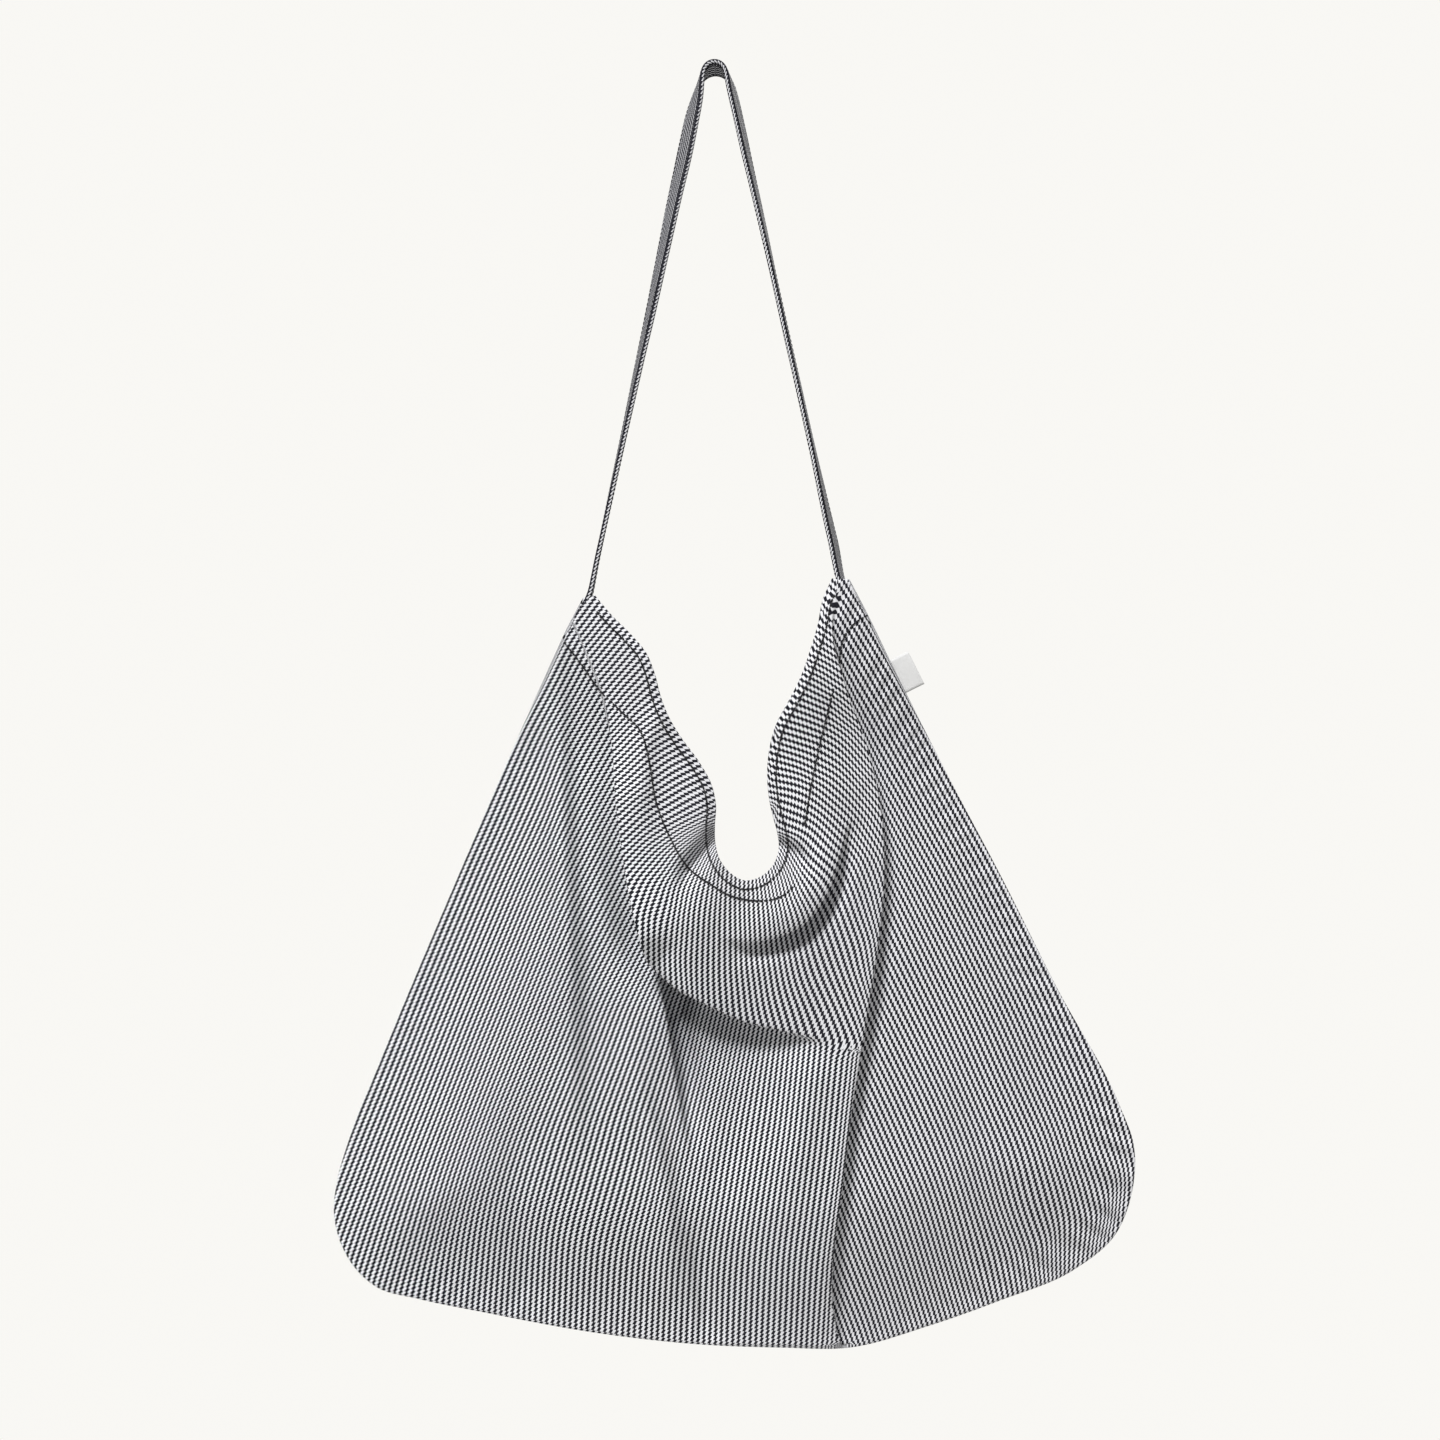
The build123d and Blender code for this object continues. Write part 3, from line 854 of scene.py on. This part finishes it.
def label_piece(material):
    """The small woven label, folded double and sewn into the seam, a little curled."""
    low, high = [np.array(corner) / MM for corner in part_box("label")]
    top, foot = high[2], low[2]
    seam = np.array(OUTLINE[-5:], float)[::-1]
    z = np.linspace(top - 3.0, foot + 1.0, 14)
    x = np.interp(z, seam[::-1, 1], seam[::-1, 0])
    way = np.array([x[-1] - x[0], z[-1] - z[0]])
    way /= np.linalg.norm(way)
    away = np.array([-way[1], way[0]])
    middle = (low[1] + high[1]) / 2
    root, fold, half = -1.2, 12.6, 0.45  # where it starts and folds back, from the seam, and half its thickness
    round_fold = np.linspace(0.3, math.pi - 0.3, 5)
    reach = [np.linspace(root, fold, 12), fold + 0.4 * np.sin(round_fold), np.linspace(fold, root, 12)]
    reach = np.concatenate(reach)
    lift = np.concatenate([np.full(12, -half), -half * np.cos(round_fold), np.full(12, half)])
    free = np.maximum(reach, 0) / 11
    curl = -0.9 * free**2
    bulge = 0.5 * np.sin(np.linspace(0, math.pi, len(z)))
    depth = (middle + lift + curl)[:, None] - bulge[None, :] * free[:, None]
    reach = reach[:, None]
    grid = np.stack([x + away[0] * reach, depth, z + away[1] * reach], axis=-1)
    rows = len(reach)
    round_it = np.tile(np.linspace(0, 27, rows)[:, None], (1, len(z)))
    down_it = np.tile(np.linspace(0, 25, len(z)), (rows, 1))
    flat = np.stack([round_it, down_it], axis=-1)
    return cloth_piece("woven_label", grid, flat, 0.3, (0, -1, 0), material)


# Materials


class Nodes:
    """Short calls for building one material's nodes."""

    def __init__(self, name):
        self.material = bpy.data.materials.new(name)
        self.material.use_nodes = True
        self.tree = self.material.node_tree
        self.shader = self.tree.nodes["Principled BSDF"]

    def add(self, kind, **settings):
        node = self.tree.nodes.new(kind)
        for key, value in settings.items():
            setattr(node, key, value)
        return node

    def link(self, source, target):
        self.tree.links.new(source, target)

    def math(self, operation, first, second=None, third=None):
        node = self.add("ShaderNodeMath", operation=operation)
        for socket, value in zip(node.inputs, (first, second, third)):
            if value is None:
                continue
            if isinstance(value, (int, float)):
                socket.default_value = value
            else:
                self.link(value, socket)
        return node.outputs[0]

    def flat_place(self):
        """Across and along in the flat cloth, in stripes and twill steps."""
        uv = self.add("ShaderNodeUVMap", uv_map="cloth").outputs["UV"]
        split = self.add("ShaderNodeSeparateXYZ")
        self.link(uv, split.inputs[0])
        return split.outputs[0], split.outputs[1]

    def noise(self, scale, detail=3.0):
        node = self.add("ShaderNodeTexNoise")
        node.inputs["Scale"].default_value = scale
        node.inputs["Detail"].default_value = detail
        self.link(self.add("ShaderNodeTexCoord").outputs["Object"], node.inputs["Vector"])
        return node.outputs["Fac"]

    def ramp(self, value, low, high, start, end):
        node = self.add("ShaderNodeMapRange", interpolation_type="SMOOTHSTEP")
        for name, number in (("From Min", low), ("From Max", high), ("To Min", start), ("To Max", end)):
            node.inputs[name].default_value = number
        self.link(value, node.inputs["Value"])
        return node.outputs["Result"]

    def mix(self, factor, first, second):
        node = self.add("ShaderNodeMix", data_type="RGBA")
        self.link(factor, node.inputs["Factor"])
        for socket, value in ((node.inputs[6], first), (node.inputs[7], second)):
            if isinstance(value, tuple):
                socket.default_value = (*value, 1)
            else:
                self.link(value, socket)
        return node.outputs[2]

    def bump(self, height, distance, strength):
        node = self.add("ShaderNodeBump")
        node.inputs["Distance"].default_value = distance
        node.inputs["Strength"].default_value = strength
        self.link(height, node.inputs["Height"])
        self.link(node.outputs["Normal"], self.shader.inputs["Normal"])

    def finish(self, colour, roughness, sheen):
        self.link(colour, self.shader.inputs["Base Color"])
        self.link(roughness, self.shader.inputs["Roughness"])
        self.shader.inputs["Sheen Weight"].default_value = sheen
        self.shader.inputs["Sheen Roughness"].default_value = 0.5
        self.shader.inputs["Specular IOR Level"].default_value = 0.25
        return self.material


def striped_cloth(name, dark_share):
    """Hickory-stripe twill: dark and light stripes whose edges step along the twill."""
    nodes = Nodes(name)
    across, along = nodes.flat_place()
    uneven = nodes.noise(420.0, 2.0)
    step = nodes.math("SUBTRACT", nodes.math("FRACT", along), 0.5)
    place = nodes.math("MULTIPLY_ADD", step, 0.36, across)
    place = nodes.math("MULTIPLY_ADD", nodes.math("SUBTRACT", uneven, 0.5), 0.10, place)
    stripe = nodes.math("ABSOLUTE", nodes.math("SUBTRACT", nodes.math("FRACT", place), 0.5))
    light = nodes.ramp(stripe, dark_share / 2 - 0.035, dark_share / 2 + 0.035, 0.0, 1.0)
    twill = nodes.math("FRACT", nodes.math("MULTIPLY_ADD", across, 6.0, nodes.math("MULTIPLY", along, 4.0)))
    twill = nodes.math("ABSOLUTE", nodes.math("SUBTRACT", twill, 0.5))
    faded = nodes.noise(9.0, 4.0)
    navy = nodes.mix(nodes.ramp(faded, 0.3, 0.75, 0.0, 1.0), (0.0045, 0.0045, 0.009), (0.012, 0.012, 0.021))
    navy = nodes.mix(nodes.ramp(twill, 0.1, 0.5, 0.0, 0.35), navy, (0.028, 0.028, 0.040))
    white = nodes.mix(nodes.ramp(faded, 0.3, 0.75, 0.0, 1.0), (0.90, 0.905, 0.94), (0.84, 0.845, 0.885))
    white = nodes.mix(nodes.ramp(twill, 0.1, 0.5, 0.0, 0.30), white, (0.45, 0.45, 0.47))
    colour = nodes.mix(light, navy, white)
    roughness = nodes.ramp(uneven, 0.2, 0.8, 0.80, 0.95)
    height = nodes.math("MULTIPLY_ADD", twill, 0.8, nodes.math("MULTIPLY", light, 0.35))
    nodes.bump(height, 0.00025, 0.5)
    return nodes.finish(colour, roughness, 0.02)


def thread_material():
    nodes = Nodes("black_thread")
    across, along = nodes.flat_place()
    turns = nodes.math("MULTIPLY_ADD", along, 6.0, nodes.math("MULTIPLY", across, 8.0))
    twist = nodes.math("SINE", nodes.math("MULTIPLY", turns, 6.283))
    colour = nodes.mix(nodes.ramp(twist, -1.0, 1.0, 0.0, 1.0), (0.006, 0.006, 0.008), (0.022, 0.022, 0.026))
    nodes.bump(twist, 0.0001, 0.4)
    return nodes.finish(colour, nodes.ramp(twist, -1.0, 1.0, 0.5, 0.65), 0.1)


def label_material():
    nodes = Nodes("label_cloth")
    across, along = nodes.flat_place()
    warp = nodes.math("SINE", nodes.math("MULTIPLY", across, 46.0))
    weft = nodes.math("SINE", nodes.math("MULTIPLY", along, 34.0))
    weave = nodes.math("MULTIPLY", warp, weft)
    colour = nodes.mix(nodes.ramp(weave, -1.0, 1.0, 0.0, 1.0), (0.74, 0.74, 0.74), (0.84, 0.84, 0.835))
    nodes.bump(weave, 0.0001, 0.5)
    return nodes.finish(colour, nodes.ramp(nodes.noise(300.0), 0.2, 0.8, 0.5, 0.65), 0.15)


def floor_material():
    nodes = Nodes("pale_floor")
    colour = nodes.mix(nodes.noise(2.0), (0.585, 0.58, 0.567), (0.62, 0.615, 0.602))
    return nodes.finish(colour, nodes.ramp(nodes.noise(5.0), 0.2, 0.8, 0.75, 0.85), 0.0)


# Camera, light and floor


def add_camera():
    camera = bpy.data.objects.new("camera", bpy.data.cameras.new("camera"))
    camera.data.sensor_width = SENSOR
    camera.data.lens = SENSOR * VIEW_DISTANCE / FRAME_WIDTH
    camera.location = (VIEW_X * MM, -VIEW_DISTANCE * MM, VIEW_Z * MM)
    camera.rotation_euler = (math.pi / 2, 0, 0)
    bpy.context.scene.collection.objects.link(camera)
    bpy.context.scene.camera = camera


def add_sun(name, towards, power, softness):
    light = bpy.data.lights.new(name, "SUN")
    light.energy = power
    light.angle = math.radians(softness)
    lamp = bpy.data.objects.new(name, light)
    flat = math.hypot(towards[0], towards[1])
    lamp.rotation_euler = (math.atan2(flat, towards[2]), 0, math.atan2(towards[0], -towards[1]))
    bpy.context.scene.collection.objects.link(lamp)


def add_studio():
    scene = bpy.context.scene
    scene.view_settings.view_transform = "Standard"
    scene.view_settings.look = "None"
    world = bpy.data.worlds.new("studio")
    world.use_nodes = True
    tree = world.node_tree
    background = tree.nodes["Background"]
    background.inputs["Color"].default_value = (0.945, 0.935, 0.905, 1)
    seen = tree.nodes.new("ShaderNodeLightPath").outputs["Is Camera Ray"]
    strength = tree.nodes.new("ShaderNodeMapRange")
    strength.inputs["To Min"].default_value = WORLD_LIGHT
    strength.inputs["To Max"].default_value = 1.0
    tree.links.new(seen, strength.inputs["Value"])
    tree.links.new(strength.outputs["Result"], background.inputs["Strength"])
    scene.world = world
    add_sun("key", (-0.30, -0.62, 0.85), KEY_LIGHT, 16)
    add_sun("back_fill", (0.4, 0.8, 0.6), KEY_LIGHT * 0.5, 40)
    turns = np.linspace(0, 2 * math.pi, FLOOR_SIDES + 1)[:-1]
    ring = [(FLOOR_REACH * math.cos(turn), FLOOR_REACH * math.sin(turn), FLOOR_Z) for turn in turns]
    slices = [(0, k + 1, (k + 1) % FLOOR_SIDES + 1) for k in range(FLOOR_SIDES)]
    floor = add_mesh("floor", np.array([(0, 0, FLOOR_Z)] + ring), slices)
    floor.data.materials.append(floor_material())


# The whole bag


def add_front(cloth, striped, thread):
    """The front, its hem fold and its rows of stitches, fixed in the frame."""
    panel = face_piece("front_cloth", LIP, front_depth, front_push, cloth, FRONT, 600, 180, striped)
    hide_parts("front_panel")
    hem = hem_piece("front_hem_fold", LIP, front_depth, cloth, FRONT, 360, striped)
    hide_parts("front_hem")
    pieces = [panel, hem]
    lip = spline(LIP, 300)
    for name, line in (
        ("front_edge_stitches", (lip + right_of(lip) * EDGE_STITCH)[6:-6]),
        ("front_hem_stitches_left", spline(HEM_ROW, 300)),
        ("front_hem_stitches_right", spline(HEM_ROW_RIGHT, 120)),
    ):
        places, normals = on_face(line, front_depth, FRONT, STITCH_LIFT)
        pieces.append(stitch_row(name, places, normals, *HEM_THREAD, thread))
    for piece in pieces:
        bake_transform(piece)


def add_back(striped, thread):
    cloth = BackCloth()
    panel = face_piece("back_cloth", BACK_LIP, back_depth, back_push, cloth, BACK, 420, 110, striped)
    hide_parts("back_panel")
    hem = hem_piece("back_hem_fold", BACK_LIP, back_depth, cloth, BACK, 240, striped)
    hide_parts("back_hem")
    pieces = [panel, hem]
    lip = spline(BACK_LIP, 300)
    for name, inset, cut in (("back_edge_stitches", EDGE_STITCH, 8), ("back_hem_stitches", HEM_STITCH, 44)):
        line = (lip + right_of(lip) * inset)[cut:-cut]
        places, normals = on_face(line, back_depth, BACK, STITCH_LIFT)
        pieces.append(stitch_row(name, places, normals, *HEM_THREAD, thread))
    for piece in pieces:
        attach(piece, "bag")


def add_seams(striped):
    """The three seams, by their start and end as shares of the outline."""
    spans = (("side_seam_left", 0.0, 0.3), ("bottom_seam", 0.302, 0.668), ("side_seam_right", 0.67, 1.0))
    for name, start, end in spans:
        strip = seam_strip(name + "_allowance", start, end, striped)
        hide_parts(name)
        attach(strip, "bag")


def add_strap(thread):
    band = strap_piece(striped_cloth("strap_canvas", 0.76))
    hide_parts("shoulder_strap", "strap_end_left", "strap_end_right")
    middle = (np.array(FOLD[LEFT]) + np.array(FOLD[RIGHT])) / 2
    down = np.array(FOLD_DOWN) * FOLD_REACH
    start, end = [(place[0] * MM, 0, place[1] * MM) for place in (middle - down, middle + down)]
    pieces = [band]
    rows = (("strap_front_stitches", 1, "strap_stitch_front"), ("strap_back_stitches", -1, "strap_stitch_back"))
    for name, edge, node in rows:
        row = strap_row(name, edge, thread)
        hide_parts(node)
        pieces.append(row)
    for piece in pieces:
        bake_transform(piece)
        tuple(start)
        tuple(end)
    for side in ("left", "right"):
        for height in ("upper", "lower"):
            node = f"bar_tack_{side}_{height}"
            tack = bar_tack(node, thread)
            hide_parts(node)
            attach(tack, "bag")


def add_label():
    label = label_piece(label_material())
    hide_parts("label")
    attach(label, "label")


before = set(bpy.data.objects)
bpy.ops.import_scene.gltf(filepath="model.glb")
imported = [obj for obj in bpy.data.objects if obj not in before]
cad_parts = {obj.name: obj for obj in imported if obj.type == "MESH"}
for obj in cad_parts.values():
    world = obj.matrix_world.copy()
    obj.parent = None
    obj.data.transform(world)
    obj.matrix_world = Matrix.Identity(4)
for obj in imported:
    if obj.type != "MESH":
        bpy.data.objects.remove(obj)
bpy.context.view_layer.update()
add_camera()
add_studio()
striped = striped_cloth("striped_canvas", 0.52)
thread = thread_material()
add_front(FrontCloth(), striped, thread)
add_back(striped, thread)
add_seams(striped)
add_strap(thread)
add_label()
